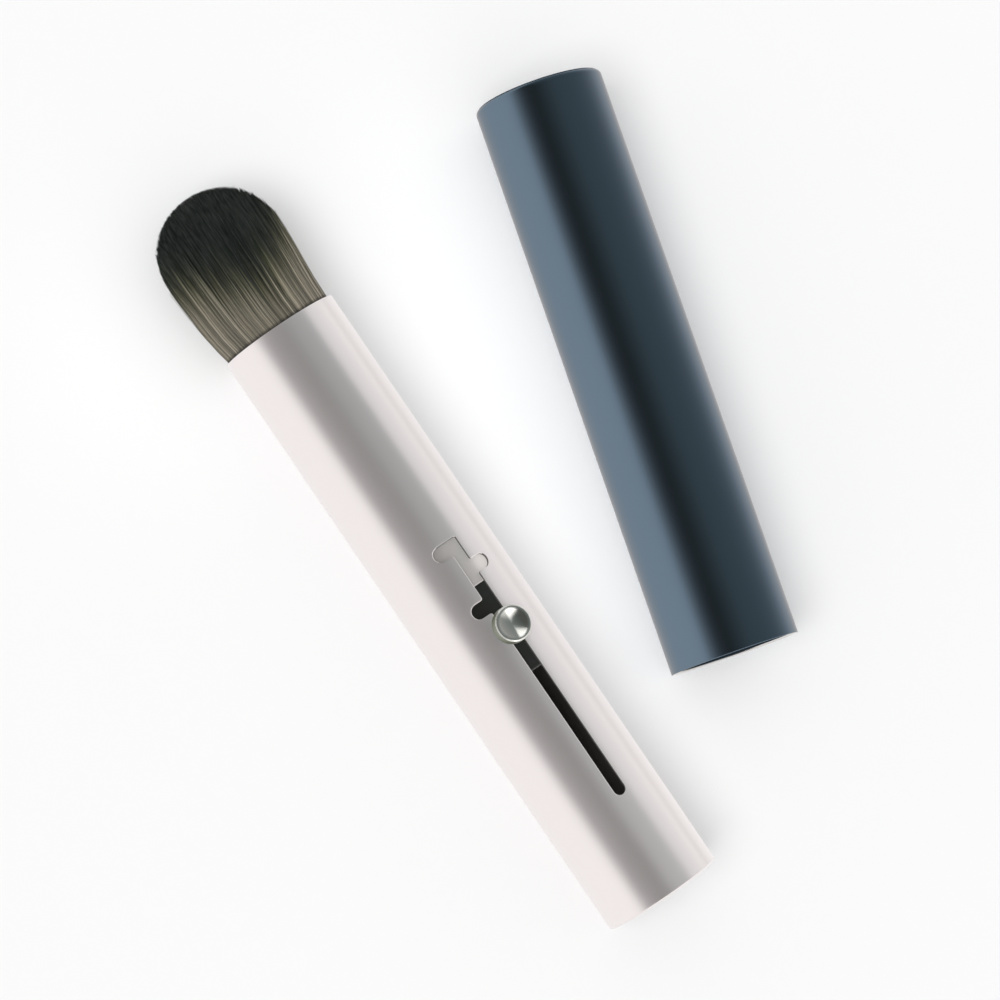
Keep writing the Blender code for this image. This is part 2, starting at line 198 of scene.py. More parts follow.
def cut_out(piece, cutter_shape):
    """Cuts a shape out of a piece for good, both given about the same axis."""
    mesh = bpy.data.meshes.new("cutter")
    bmesh.ops.recalc_face_normals(cutter_shape, faces=cutter_shape.faces)
    cutter_shape.to_mesh(mesh)
    cutter_shape.free()
    cutter = bpy.data.objects.new("cutter", mesh)
    bpy.context.scene.collection.objects.link(cutter)
    cutter.matrix_world = piece.matrix_world
    boolean = piece.modifiers.new("cut", "BOOLEAN")
    boolean.operation = "DIFFERENCE"
    boolean.solver = "EXACT"
    boolean.object = cutter
    bpy.context.view_layer.update()
    graph = bpy.context.evaluated_depsgraph_get()
    piece.data = bpy.data.meshes.new_from_object(piece.evaluated_get(graph))
    piece.modifiers.remove(boolean)
    bpy.data.objects.remove(cutter)


def gate_outline(grow):
    """The gate slot laid flat, as (distance round the tube from the lane's middle, place along the tube)."""
    half = LANE_WIDTH / 2 + grow
    rise = NOTCH_HEIGHT / 2 + grow
    reach = TUBE_RADIUS * NOTCH_TURN + rise
    inner = NOTCH_CORNER - grow
    top = grow - LANE_START
    bottom = -LANE_START - LANE_LENGTH - grow
    right_upper, left_lower, right_lower = (-LANE_START - LANE_LENGTH * share for share in NOTCH_SHARES)

    def notch(side, middle, first):
        """A notch's four corners on one side of the lane, first its upper edge (1) or its lower one (-1)."""
        return [
            (side * half, middle + first * rise, inner),
            (side * reach, middle + first * rise, rise),
            (side * reach, middle - first * rise, rise),
            (side * half, middle - first * rise, inner),
        ]

    return rounded(
        [
            (half, top, LANE_CORNER + grow),
            *notch(1, right_upper, 1),
            *notch(1, right_lower, 1),
            (half, bottom, half),
            (-half, bottom, half),
            *notch(-1, left_lower, -1),
            (-half, top - 2 * rise, inner),
            (-reach, top - 2 * rise, rise),
            (-reach, top, rise),
        ]
    )


def gate_cutter():
    """The slot's space, each level wrapped round the tube's axis.

    Its edge is rounded on the left and towards the mouth, and stays sharp on the other two sides.
    """
    levels = [(TUBE_BORE - SLOT_OVERRUN, 0)]
    for step in range(LIP_STEPS):
        lean = math.pi / 2 * step / LIP_STEPS
        levels.append((TUBE_RADIUS - SLOT_LIP * (1 - math.sin(lean)), SLOT_LIP * (1 - math.cos(lean)) / 2))
    over = levels[-1]
    levels.append((2 * TUBE_RADIUS - over[0], SLOT_LIP - over[1]))
    levels.append((TUBE_RADIUS + SLOT_OVERRUN, levels[-1][1]))
    shape = bmesh.new()
    rings = []
    for height, grow in levels:
        flat = gate_outline(grow)
        angles = [((round_tube - grow) / TUBE_RADIUS, along + grow) for round_tube, along in flat]
        places = [(height * math.sin(angle), along, height * math.cos(angle)) for angle, along in angles]
        rings.append([shape.verts.new(place) for place in places])
    shape.faces.new(rings[0])
    shape.faces.new(rings[-1])
    for lower, upper in zip(rings, rings[1:]):
        for index in range(len(lower)):
            shape.faces.new((lower[index - 1], lower[index], upper[index], upper[index - 1]))
    bmesh.ops.rotate(shape, verts=shape.verts, cent=(0, 0, 0), matrix=Matrix.Rotation(LANE_TURN, 3, "Y"))
    return shape


def true_round(mesh):
    """Shades the outer and inner faces of a tube as the true cylinder, also where the slot cuts them."""
    normals = []
    for face in mesh.polygons:
        out = Vector((face.center.x, 0, face.center.z)).normalized()
        facing = out.dot(face.normal)
        for corner in face.loop_indices:
            spot = mesh.vertices[mesh.loops[corner].vertex_index].co
            on_round = abs(facing) > FLAT_ON_SURFACE
            normals.append(
                Vector((spot.x, 0, spot.z)).normalized() * math.copysign(1, facing) if on_round else Vector()
            )
    mesh.normals_split_custom_set(normals)


def off_axis(face):
    """How far a face's middle stands from the axis that its piece is turned about."""
    return Vector((face.center.x, face.center.z)).length


def finish_faces(piece, finish, is_chosen):
    """Gives a finish of their own to the faces that is_chosen picks."""
    finishes = piece.data.materials
    if finish.name not in finishes:
        finishes.append(finish)
    index = finishes.find(finish.name)
    for face in piece.data.polygons:
        if is_chosen(face):
            face.material_index = index


def in_tube_bore(face):
    """Whether a face lies inside the tube, or on a wall of the slot below its rounded lip."""
    return off_axis(face) < TUBE_RADIUS - SLOT_LIP and BASE_CORNER - TUBE_LENGTH < face.center.y < -MOUTH_EDGE


def on_shaded_wall(face):
    """Whether a face is on a lower or right wall of the slot, which has no lip and lies in the shade."""
    out = Vector((face.center.x, 0, face.center.z)).normalized()
    across = Vector((out.z, 0, -out.x))
    by_slot = LANE_FOOT / 2 - TUBE_LENGTH < face.center.y < -LANE_START / 2
    is_wall = abs(out.dot(face.normal)) < STEEP_AS_WALL
    return by_slot and is_wall and face.normal.y > face.normal.dot(across)


# Pearl anodised over blasting: a satin sheen that draws each light out to a soft band along the tube.
# Inside the tube and on the slot's shaded walls, the same aluminium is a dull grey: painted shade.
pearl, tree, shader = new_finish("pearl_anodised_aluminium", "#f0e9e8", 0.3, 0.8)
grain_skin(tree, shader, BEAD, BEAD_DENT, BEAD_DRIFT)
pearl_painted_shade, tree, shader = new_finish("pearl_anodised_painted_shade", "#6a6664", 0.6)
shader.inputs["Specular IOR Level"].default_value = 0.0
grain_skin(tree, shader, BEAD, BEAD_DENT, BEAD_DRIFT)

tube_outline = rounded(
    [
        (TUBE_BORE, -TUBE_LENGTH, BASE_CORNER),
        (TUBE_RADIUS - BASE_CHAMFER, -TUBE_LENGTH, BASE_CORNER),
        (TUBE_RADIUS, BASE_CHAMFER - TUBE_LENGTH, BASE_CORNER),
        (TUBE_RADIUS, 0, MOUTH_EDGE),
        (TUBE_BORE, 0, MOUTH_EDGE),
    ]
)
tube = fit_piece(
    "barrel", turned(tube_outline, TUBE_SIDES), pearl, handle_place, "handle"
)
cut_out(tube, gate_cutter())
true_round(tube.data)
# The tube's inside and the slot's shaded walls take the dull grey finish, as painted shade.
finish_faces(tube, pearl_painted_shade, in_tube_bore)
finish_faces(tube, pearl_painted_shade, on_shaded_wall)


# Base plug: a shallow aluminium cup, turned and then pressed into the bottom of the tube, flush with its
# end. Its face keeps the fine rings that the tool left.
plug_low, plug_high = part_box("base_plug")
PLUG_RADIUS = (plug_high.z - plug_low.z) / 2
PLUG_DEPTH = plug_high.y - plug_low.y
PLUG_FACE = 1.6 * MM
PLUG_WALL = 1.5 * MM
PLUG_CHAMFER = 0.25 * MM
TOOL_RING = 0.16 * MM
TOOL_RING_DEPTH = 0.004 * MM


def from_axis(corners):
    """An open outline that starts and ends on the axis, rounded at the corners between."""
    return rounded([(0, corners[0][1], 0), *corners, (0, corners[-1][1], 0)])


def even_shading(piece):
    """Long faces keep their own shading next to the small faces of a rounded edge."""
    weighted = piece.modifiers.new("even_shading", "WEIGHTED_NORMAL")
    weighted.keep_sharp = True
    weighted.weight = 100


def turning_rings(tree, shader, pitch, depth):
    """The rings that a lathe tool leaves on an end face, as relief that is the same all round the Y axis."""
    place = add_node(tree, "ShaderNodeTexCoord").outputs["Object"]
    flat = add_node(tree, "ShaderNodeVectorMath", {0: place, 1: (1.0, 0.0, 1.0)}, operation="MULTIPLY")
    radius = add_node(tree, "ShaderNodeVectorMath", {0: flat.outputs["Vector"]}, operation="LENGTH")
    rings = add_node(
        tree,
        "ShaderNodeTexNoise",
        {"W": radius.outputs["Value"], "Scale": 1 / pitch, "Detail": 3.0},
        noise_dimensions="1D",
    )
    relief = add_node(tree, "ShaderNodeBump", {"Height": rings.outputs["Fac"], "Distance": depth})
    tree.links.new(relief.outputs["Normal"], shader.inputs["Normal"])


# Turned aluminium, left bare: pale, with a sheen that runs round the tool's rings.
plug_aluminium, tree, shader = new_finish("turned_aluminium", "#d6d4d2", 0.26, 0.95)
turning_rings(tree, shader, TOOL_RING, TOOL_RING_DEPTH)

plug_outline = from_axis(
    [
        (PLUG_RADIUS, -TUBE_LENGTH, PLUG_CHAMFER),
        (PLUG_RADIUS, PLUG_DEPTH - TUBE_LENGTH, PLUG_CHAMFER),
        (PLUG_RADIUS - PLUG_WALL, PLUG_DEPTH - TUBE_LENGTH, PLUG_CHAMFER),
        (PLUG_RADIUS - PLUG_WALL, PLUG_FACE - TUBE_LENGTH, PLUG_CHAMFER),
    ]
)
plug_shape = turned(plug_outline, TUBE_SIDES, closed=False)
plug = fit_piece("base_plug", plug_shape, plug_aluminium, handle_place, "handle")
even_shading(plug)


# Ferrule: a thin drawn aluminium tube, clear anodised, that slides in the handle and holds the bristles.
# Its mouth is rolled smooth, and its lower end is pressed over the core.
ferrule_low, ferrule_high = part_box("ferrule")
SLIDER_RADIUS = (ferrule_high.z - ferrule_low.z) / 2
FERRULE_MOUTH = ferrule_high.y - tube_high.y
FERRULE_FOOT = ferrule_low.y - tube_high.y
FERRULE_WALL = 0.4 * MM
FERRULE_BORE = SLIDER_RADIUS - FERRULE_WALL
FERRULE_LIP = 0.12 * MM
EDGE_SHADE_REACH = 0.3 * MM
EDGE_SHADE_SLANT = (1.2, -0.2, 0.0)
EDGE_SHADE_SAMPLES = 8

# Clear anodised aluminium: a plainer, greyer satin than the handle's. Painted shade darkens its colour close
# to the slot's right and lower edges, where the tube's wall stands over it.
clear, tree, shader = new_finish("clear_anodised_aluminium", "#f3ebe7", 0.3, 0.76)
grain_skin(tree, shader, grain=0.2 * MM, depth=0.003 * MM, drift=0.02)
normal = add_node(tree, "ShaderNodeNewGeometry").outputs["Normal"]
slanted = add_node(tree, "ShaderNodeVectorMath", {0: normal, 1: EDGE_SHADE_SLANT}, operation="ADD")
slant = add_node(tree, "ShaderNodeVectorMath", {0: slanted.outputs["Vector"]}, operation="NORMALIZE")
edge_shade = add_node(
    tree,
    "ShaderNodeAmbientOcclusion",
    {
        "Color": shader.inputs["Base Color"].default_value,
        "Distance": EDGE_SHADE_REACH,
        "Normal": slant.outputs["Vector"],
    },
    samples=EDGE_SHADE_SAMPLES,
)
tree.links.new(edge_shade.outputs["Color"], shader.inputs["Base Color"])

ferrule_outline = rounded(
    [
        (FERRULE_BORE, FERRULE_FOOT, 0),
        (SLIDER_RADIUS, FERRULE_FOOT, FERRULE_LIP),
        (SLIDER_RADIUS, FERRULE_MOUTH, FERRULE_LIP),
        (FERRULE_BORE, FERRULE_MOUTH, FERRULE_LIP),
    ]
)
ferrule_shape = turned(ferrule_outline, TUBE_SIDES)
ferrule = fit_piece("ferrule", ferrule_shape, clear, handle_place, "carriage")
even_shading(ferrule)


# Slider core: a black acetal moulding with a spigot for the ferrule, two ring grooves and a cross hole
# for the insert. It shows through the lower part of the slot, with the dull skin of its mould.
core_low, core_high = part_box("slider_core")
knob_low, knob_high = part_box("knob")
ring_low, ring_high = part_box("front_damping_ring")
insert_low, insert_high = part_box("thread_insert")
PART_GAP = 0.3 * MM
SLIDE_GAP = 0.1 * MM
PIN_PLACE = (knob_low.y + knob_high.y) / 2 - tube_high.y
COLLAR_RADIUS = SLIDER_RADIUS - SLIDE_GAP
COLLAR_TOP = FERRULE_FOOT - PART_GAP
COLLAR_FOOT = core_low.y - tube_high.y
SPIGOT_RADIUS = FERRULE_BORE - PART_GAP
SPIGOT_END = core_high.y - tube_high.y
CORE_EDGE = 0.4 * MM
CORE_RECESS = 5.6 * MM
CORE_WEB = 1.3 * MM
RING_THICKNESS = ring_high.y - ring_low.y
RING_PLACE = (ring_low.y + ring_high.y) / 2 - tube_high.y
GROOVE_HALF = RING_THICKNESS / 2
GROOVE_FLOOR = SLIDER_RADIUS - RING_THICKNESS - PART_GAP
INSERT_RADIUS = (insert_high.y - insert_low.y) / 2
POCKET_RADIUS = INSERT_RADIUS + PART_GAP
INSERT_TOP = COLLAR_RADIUS - PART_GAP
INSERT_LENGTH = 4.6 * MM
SMALL_SIDES = 64
stand_up = Matrix.Rotation(LANE_TURN, 4, "Y") @ Matrix.Rotation(math.pi / 2, 4, "X")
knob_place = handle_place @ Matrix.Translation((0, PIN_PLACE, 0)) @ stand_up

# Moulded acetal: black through and through, with a dull and slightly waxy sheen.
acetal, tree, shader = new_finish("black_moulded_acetal", "#191a14", 0.42)
grain_skin(tree, shader, grain=0.12 * MM, depth=0.006 * MM, drift=0.05)

rear_place = 2 * PIN_PLACE - RING_PLACE
core_outline = from_axis(
    [
        (CORE_RECESS, PIN_PLACE - POCKET_RADIUS - CORE_WEB, CORE_EDGE),
        (CORE_RECESS, COLLAR_FOOT, 0),
        (COLLAR_RADIUS, COLLAR_FOOT, CORE_EDGE),
        (COLLAR_RADIUS, rear_place - GROOVE_HALF, 0),
        (GROOVE_FLOOR, rear_place - GROOVE_HALF, 0),
        (GROOVE_FLOOR, rear_place + GROOVE_HALF, 0),
        (COLLAR_RADIUS, rear_place + GROOVE_HALF, 0),
        (COLLAR_RADIUS, RING_PLACE - GROOVE_HALF, 0),
        (GROOVE_FLOOR, RING_PLACE - GROOVE_HALF, 0),
        (GROOVE_FLOOR, RING_PLACE + GROOVE_HALF, 0),
        (COLLAR_RADIUS, RING_PLACE + GROOVE_HALF, 0),
        (COLLAR_RADIUS, COLLAR_TOP, 0),
        (SPIGOT_RADIUS, COLLAR_TOP, 0),
        (SPIGOT_RADIUS, SPIGOT_END, CORE_EDGE),
    ]
)
core_shape = turned(core_outline, TUBE_SIDES, closed=False)
core = fit_piece("slider_core", core_shape, acetal, handle_place, "carriage")
pocket = turned(
    from_axis([(POCKET_RADIUS, INSERT_TOP - INSERT_LENGTH - PART_GAP, 0), (POCKET_RADIUS, TUBE_RADIUS, 0)]),
    SMALL_SIDES,
    closed=False,
)
bmesh.ops.transform(pocket, verts=pocket.verts, matrix=handle_place.inverted() @ knob_place)
cut_out(core, pocket)
even_shading(core)


# Damping rings: nitrile rubber, moulded with a square section and stretched into the core's grooves. They
# rub in the tube, so that the brush stays where it is pushed.
RING_OUTER = COLLAR_RADIUS
RING_CORNER = 0.01 * MM

# Moulded nitrile rubber: a matt black, duller than the core.
nitrile, tree, shader = new_finish("nitrile_rubber", "#1a1b18", 0.5)
grain_skin(tree, shader, grain=0.15 * MM, depth=0.008 * MM, drift=0.06)

for ring_name in ("front_damping_ring", "rear_damping_ring"):
    low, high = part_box(ring_name)
    middle = (low.y + high.y) / 2 - tube_high.y
    thick = RING_THICKNESS / 2
    section = rounded(
        [
            (RING_OUTER, middle - thick, RING_CORNER),
            (RING_OUTER, middle + thick, RING_CORNER),
            (RING_OUTER - RING_THICKNESS, middle + thick, RING_CORNER),
            (RING_OUTER - RING_THICKNESS, middle - thick, RING_CORNER),
        ]
    )
    ring_shape = turned(section, TUBE_SIDES)
    ring = fit_piece(ring_name, ring_shape, nitrile, handle_place, "carriage")
    even_shading(ring)


# Thread insert: a brass bush turned from bar and pressed across the core, for the knob's stem to screw
# into.
INSERT_BORE = 1.0 * MM
INSERT_CHAMFER = 0.2 * MM

# Turned brass: warm yellow, with the tool's rings on its end.
brass, tree, shader = new_finish("turned_brass", "#c9a765", 0.28, 1.0)
turning_rings(tree, shader, pitch=0.12 * MM, depth=TOOL_RING_DEPTH)

insert_outline = rounded(
    [
        (INSERT_BORE, INSERT_TOP - INSERT_LENGTH, 0),
        (INSERT_RADIUS, INSERT_TOP - INSERT_LENGTH, INSERT_CHAMFER),
        (INSERT_RADIUS, INSERT_TOP, INSERT_CHAMFER),
        (INSERT_BORE, INSERT_TOP, INSERT_CHAMFER),
    ]
)
insert_shape = turned(insert_outline, SMALL_SIDES)
insert = fit_piece("thread_insert", insert_shape, brass, knob_place, "carriage")
even_shading(insert)


# Knob: a button turned from stainless steel, with a polished side, a narrow rim and a dished top that keeps
# its turning rings, so light falls on the dish in two opposite fans. The rim and the dish are painted paler
# than the side, as a painted highlight.
KNOB_RADIUS = (knob_high.y - knob_low.y) / 2
KNOB_UNDER = TUBE_RADIUS + PART_GAP
KNOB_HEIGHT = 2.1 * MM
KNOB_TOP = KNOB_UNDER + KNOB_HEIGHT
KNOB_CHAMFER = 0.22 * MM
KNOB_EDGE = 0.08 * MM
KNOB_RIM = 0.25 * MM
KNOB_DISH = 0.8 * MM
DISH_POWER = 1.7
DISH_STEPS = 10
STEM_RADIUS = 0.7 * MM
STEM_SHORT = 0.9 * MM
STEM_FOOT = INSERT_TOP - INSERT_LENGTH + STEM_SHORT
KNOB_SIDES = 128
KNOB_RING = 0.1 * MM

# Polished stainless steel: a clear image of the light, in a cool grey that stays grey at its edges.
steel, tree, shader = new_finish("polished_stainless_steel", "#acaea4", 0.16, 1.0)
shader.inputs["Specular Tint"].default_value = to_linear("#7e8078")
turning_rings(tree, shader, KNOB_RING, depth=0.0015 * MM)

# The same steel as the tool left it: fine rings round the dish spread each light into a fan. Its paler
# colour is a painted highlight.
turned_steel_painted_highlight, tree, shader = new_finish("turned_stainless_steel_dish_painted_highlight", "#e2e0da", 0.22, 1.0)
shader.inputs["Anisotropic"].default_value = 0.85
shader.inputs["Anisotropic Rotation"].default_value = 0.25
turning_rings(tree, shader, KNOB_RING, depth=0.002 * MM)
grooves = add_node(tree, "ShaderNodeTangent", direction_type="RADIAL", axis="Y")
tree.links.new(grooves.outputs["Tangent"], shader.inputs["Tangent"])

dish_radius = KNOB_RADIUS - KNOB_CHAMFER - KNOB_RIM
dish_places = [1 - step / DISH_STEPS for step in range(1, DISH_STEPS + 1)]
knob_outline = rounded(
    [
        (0, STEM_FOOT, 0),
        (STEM_RADIUS, STEM_FOOT, KNOB_EDGE),
        (STEM_RADIUS, KNOB_UNDER, 0),
        (KNOB_RADIUS - KNOB_CHAMFER, KNOB_UNDER, KNOB_EDGE),
        (KNOB_RADIUS, KNOB_UNDER + KNOB_CHAMFER, KNOB_EDGE),
        (KNOB_RADIUS, KNOB_TOP - KNOB_CHAMFER, KNOB_EDGE),
        (KNOB_RADIUS - KNOB_CHAMFER, KNOB_TOP, KNOB_EDGE),
        (dish_radius, KNOB_TOP, 0),
        *[(dish_radius * out, KNOB_TOP - KNOB_DISH * (1 - out**DISH_POWER), 0) for out in dish_places],
    ]
)
knob_shape = turned(knob_outline, KNOB_SIDES, closed=False)
knob = fit_piece("knob", knob_shape, steel, knob_place, "carriage")
# The dish and the rim take the paler steel, as a painted highlight.
finish_faces(
    knob,
    turned_steel_painted_highlight,
    lambda face: off_axis(face) < KNOB_RADIUS - KNOB_EDGE and face.center.y > KNOB_UNDER + KNOB_CHAMFER,
)
even_shading(knob)


# Tuft: thousands of straight synthetic filaments with tapered tips, dyed almost black at the tips and
# left taupe at the roots. They are set in the ferrule in a flared bundle that is trimmed to a dome.
# The strands are drawn about twice as thick as real ones, so that they show.
tuft_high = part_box("tuft")[1]
TUFT_SEED = 11
STRANDS = 9000
LOCKS = 900
ROOT_JITTER = 0.5
LOCK_JITTER = 0.6
ROOT_DEPTH = 1.2 * MM
TUFT_SEAT = FERRULE_MOUTH - ROOT_DEPTH
TUFT_REACH = tuft_high.y - tube_high.y
TUFT_SHOULDER = 13.5 * MM
DOME_POWER = 2.5
SWELL_PLACES = (TUFT_SEAT, FERRULE_MOUTH, 0, 2 * MM, 4 * MM, 8 * MM, TUFT_SHOULDER)
SWELL_RADII = (8.8 * MM, 8.9 * MM, 9.4 * MM, 9.62 * MM, 9.82 * MM, 10.18 * MM, 10.5 * MM)
LEAN_PLACES = (FERRULE_MOUTH, 0, 4 * MM)
LEANS = (0, -0.12 * MM, -0.5 * MM)
STRAND_RADIUS = 0.07 * MM
STRAND_LEVELS = 7
STRAND_SIDES = 3
TIP_SHARE = 0.4
TRIM_SPREAD = 0.22 * MM
LOCK_PULL = 0.22
LOCK_PULL_POWER = 1.5
WANDER = 0.16 * MM
LOCK_TONE_SHARE = 0.2
PALE_POWER = 2.2
TABLE_ROOM = 0.25 * MM
TUFT_SECTORS = 12
GOLDEN_TURN = math.pi * (3 - math.sqrt(5))
DYE_STOPS = (
    (-4, "#868073"),
    (1, "#837d6f"),
    (4, "#7a7566"),
    (7, "#545342"),
    (10, "#262a20"),
    (14, "#111814"),
    (26, "#101713"),
)
DYE_CREEP = 2.5 * MM
PAINTED_SHEEN_FLANKS = ((2 * MM, 10 * MM, -7 * MM), (-2 * MM, -10 * MM, -6 * MM))
DARKEST_STRAND = 0.5
PALEST_STRAND = 2.6
MOUTH_SHADE = 0.15
MOUTH_SHADE_FROM = 0.7 * MM
MOUTH_SHADE_TO = 0.1 * MM


def spread_on_disc(count, jitter, draw):
    """Places spread evenly over a disc of radius one, each shaken a little."""
    index = np.arange(count) + 0.5
    share = np.sqrt(index / count)
    places = np.stack((share * np.cos(index * GOLDEN_TURN), share * np.sin(index * GOLDEN_TURN)), axis=1)
    return places + draw.normal(0, jitter / math.sqrt(count), places.shape)


draw = np.random.default_rng(TUFT_SEED)
roots = spread_on_disc(STRANDS, ROOT_JITTER, draw)
roots /= np.maximum(np.linalg.norm(roots, axis=1), 1)[:, None]
locks = spread_on_disc(LOCKS, LOCK_JITTER, draw)
nearest = np.argmin(((roots[:, None, :] - locks[None, :, :]) ** 2).sum(axis=2), axis=1)
to_lock = locks[nearest] - roots
lock_tone = draw.uniform(0, 1, LOCKS)[nearest]
own_tone = draw.uniform(0, 1, STRANDS) ** PALE_POWER
strand_tone = LOCK_TONE_SHARE * lock_tone + (1 - LOCK_TONE_SHARE) * own_tone
out_share = np.linalg.norm(roots, axis=1)
tips = TUFT_SHOULDER + (TUFT_REACH - TUFT_SHOULDER) * (1 - out_share**2) ** (1 / DOME_POWER)
tips -= np.abs(draw.normal(0, TRIM_SPREAD, STRANDS))
sway = draw.normal(0, WANDER, (STRANDS, 2))
twist = draw.uniform(0, math.tau, STRANDS)

corners = np.zeros((STRANDS, STRAND_LEVELS, STRAND_SIDES, 3))
for level in range(STRAND_LEVELS):
    share = level / (STRAND_LEVELS - 1)
    height = TUFT_SEAT + (tips - TUFT_SEAT) * share
    swell = np.interp(height, SWELL_PLACES, SWELL_RADII)
    middle = (roots + to_lock * LOCK_PULL * share**LOCK_PULL_POWER) * swell[:, None] + sway * share**2
    squeeze = np.minimum(1, (TUBE_RADIUS - TABLE_ROOM - STRAND_RADIUS) / swell)
    middle[:, 1] *= np.where(middle[:, 1] < 0, squeeze, 1)
    middle[:, 0] += np.interp(height, LEAN_PLACES, LEANS)
    thick = STRAND_RADIUS * (1 - (1 - TIP_SHARE) * share**2)
    for side in range(STRAND_SIDES):
        angle = twist + math.tau * side / STRAND_SIDES
        corners[:, level, side, 0] = middle[:, 0] + thick * np.cos(angle)
        corners[:, level, side, 1] = height
        corners[:, level, side, 2] = middle[:, 1] + thick * np.sin(angle)

strand_corners = STRAND_SIDES * STRAND_LEVELS
strand_faces = [tuple(range(STRAND_SIDES)), tuple(strand_corners - 1 - side for side in range(STRAND_SIDES))]
for level in range(STRAND_LEVELS - 1):
    for side in range(STRAND_SIDES):
        here = STRAND_SIDES * level + side
        ahead = STRAND_SIDES * level + (side + 1) % STRAND_SIDES
        strand_faces.append((here, here + STRAND_SIDES, ahead + STRAND_SIDES, ahead))

# Dyed synthetic filament: taupe at the roots, and green-black from a third of its height; a painted sheen
# keeps both flanks pale higher up. Each strand takes the dye higher or lower and deeper or paler than its
# neighbours, so the tuft looks streaked, and painted shade darkens the strands where they leave the tube's
# mouth.
bristle, tree, shader = new_finish("dyed_synthetic_filament", "#2a2b25", 0.42)
shader.inputs["Specular IOR Level"].default_value = 0.12
place = add_node(tree, "ShaderNodeTexCoord").outputs["Object"]
tone = add_node(tree, "ShaderNodeAttribute", attribute_name="strand_tone").outputs["Fac"]
spot = add_node(tree, "ShaderNodeSeparateXYZ", {"Vector": place})
shift = add_node(
    tree, "ShaderNodeMapRange", {"Value": tone, "To Min": DYE_CREEP, "To Max": -DYE_CREEP}
).outputs["Result"]
dyed_at = add_node(tree, "ShaderNodeMath", {0: spot.outputs["Y"], 1: shift}, operation="ADD").outputs["Value"]
# Painted sheen: towards both flanks the dye starts higher, so they stay pale.
for inner, outer, lift in PAINTED_SHEEN_FLANKS:
    paler = add_node(
        tree,
        "ShaderNodeMapRange",
        {"Value": spot.outputs["X"], "From Min": inner, "From Max": outer, "To Max": lift},
    ).outputs["Result"]
    dyed_at = add_node(tree, "ShaderNodeMath", {0: dyed_at, 1: paler}, operation="ADD").outputs["Value"]
dye_foot, dye_top = DYE_STOPS[0][0], DYE_STOPS[-1][0]
dye_share = add_node(
    tree, "ShaderNodeMapRange", {"Value": dyed_at, "From Min": dye_foot * MM, "From Max": dye_top * MM}
).outputs["Result"]
dye = add_node(tree, "ShaderNodeValToRGB", {"Fac": dye_share})
while len(dye.color_ramp.elements) < len(DYE_STOPS):
    dye.color_ramp.elements.new(0.5)
for stop, (height_mm, colour) in zip(dye.color_ramp.elements, DYE_STOPS):
    stop.position = (height_mm - dye_foot) / (dye_top - dye_foot)
    stop.color = to_linear(colour)
paleness = add_node(
    tree, "ShaderNodeMapRange", {"Value": tone, "To Min": DARKEST_STRAND, "To Max": PALEST_STRAND}
).outputs["Result"]
# Painted shade: the strands darken where they leave the tube's mouth.
mouth_shade = add_node(
    tree,
    "ShaderNodeMapRange",
    {
        "Value": spot.outputs["Y"],
        "From Min": MOUTH_SHADE_TO,
        "From Max": MOUTH_SHADE_FROM,
        "To Min": MOUTH_SHADE,
        "To Max": 1.0,
    },
).outputs["Result"]
paleness_with_painted_shade = add_node(tree, "ShaderNodeMath", {0: paleness, 1: mouth_shade}, operation="MULTIPLY")
strand_colour = add_node(
    tree,
    "ShaderNodeVectorMath",
    {0: dye.outputs["Color"], "Scale": paleness_with_painted_shade.outputs["Value"]},
    operation="SCALE",
)
tree.links.new(strand_colour.outputs["Vector"], shader.inputs["Base Color"])

turns = np.arctan2(roots[:, 1], roots[:, 0]) / math.tau
sector_of = np.floor(turns * TUFT_SECTORS).astype(int) % TUFT_SECTORS
for sector in range(TUFT_SECTORS):
    chosen = np.flatnonzero(sector_of == sector)
    points = corners[chosen].reshape(-1, 3)
    faces = [
        tuple(strand_corners * strand + corner for corner in face)
        for strand in range(len(chosen))
        for face in strand_faces
    ]
    mesh = bpy.data.meshes.new(f"tuft_sector_{sector + 1}")
    mesh.from_pydata(points.tolist(), [], faces)
    mesh.attributes.new("strand_tone", "FLOAT", "POINT").data.foreach_set(
        "value", np.repeat(strand_tone[chosen], strand_corners).astype(np.float32)
    )
    mesh.materials.append(bristle)
    mesh.shade_smooth()
    bundle = bpy.data.objects.new(f"tuft_sector_{sector + 1}", mesh)
    bpy.context.scene.collection.objects.link(bundle)
    bundle.matrix_world = handle_place
    bundle.visible_glossy = False
    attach(bundle, "carriage")
    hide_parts("tuft")
    angle = math.tau * (sector + 0.5) / TUFT_SECTORS
    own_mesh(bundle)


# Resin plug: clear amber epoxy, poured round the filaments' roots in the ferrule and set hard.
resin_low, resin_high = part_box("tuft_resin")
RESIN_RADIUS = (resin_high.z - resin_low.z) / 2
RESIN_EDGE = 0.4 * MM

# Cast epoxy: amber and glossy, with the faint waves of a poured surface.
epoxy, tree, shader = new_finish("cast_epoxy_resin", "#9c8355", 0.22)
shader.inputs["Coat Weight"].default_value = 0.3
grain_skin(tree, shader, grain=1.6 * MM, depth=0.05 * MM, drift=0.05)

resin_outline = from_axis(
    [
        (RESIN_RADIUS, resin_low.y - tube_high.y, RESIN_EDGE),
        (RESIN_RADIUS, resin_high.y - tube_high.y, RESIN_EDGE),
    ]
)
resin_shape = turned(resin_outline, SMALL_SIDES, closed=False)
resin = fit_piece("tuft_resin", resin_shape, epoxy, handle_place, "carriage")
even_shading(resin)


